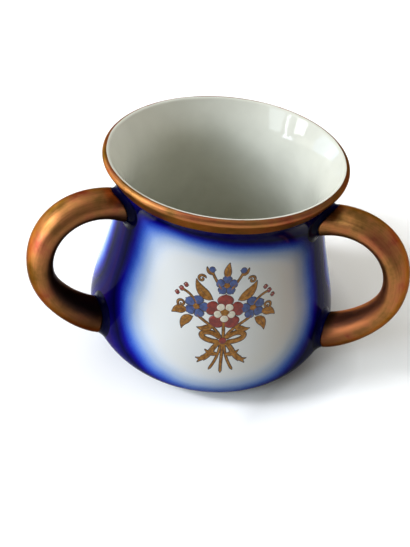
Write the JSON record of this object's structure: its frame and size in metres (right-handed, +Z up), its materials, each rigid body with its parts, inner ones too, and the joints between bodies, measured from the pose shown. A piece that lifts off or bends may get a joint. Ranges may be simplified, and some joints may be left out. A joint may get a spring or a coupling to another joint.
{
  "type": "coffee mug",
  "caption": "Glazed porcelain drinking mug of loving-cup form, with a low belly, drawn-in neck, flared gilt lip and gilt loop handles spaced evenly round it.",
  "frame": {"origin": "on the cup's axis, in the plane that the foot ring stands on", "axes": "+Z up along the cup's axis; -Y towards the front, midway between the left and right handles; +Y towards the rear handle; +X to the right seen from the front"},
  "size_m": [0.1372, 0.1334, 0.0841],
  "materials": {
    "white_porcelain": "gloss",
    "gilding": "satin",
    "cobalt_glaze": "gloss"
  },
  "bodies": {
    "root": {"cup_body": "white_porcelain", "gilt_lip_band": "gilding", "handle_left": "gilding", "slip_collar_left_upper": "cobalt_glaze", "slip_collar_left_lower": "cobalt_glaze", "handle_right": "gilding", "slip_collar_right_upper": "cobalt_glaze", "slip_collar_right_lower": "cobalt_glaze", "handle_rear": "gilding", "slip_collar_rear_upper": "cobalt_glaze", "slip_collar_rear_lower": "cobalt_glaze"}
  },
  "joints": []
}
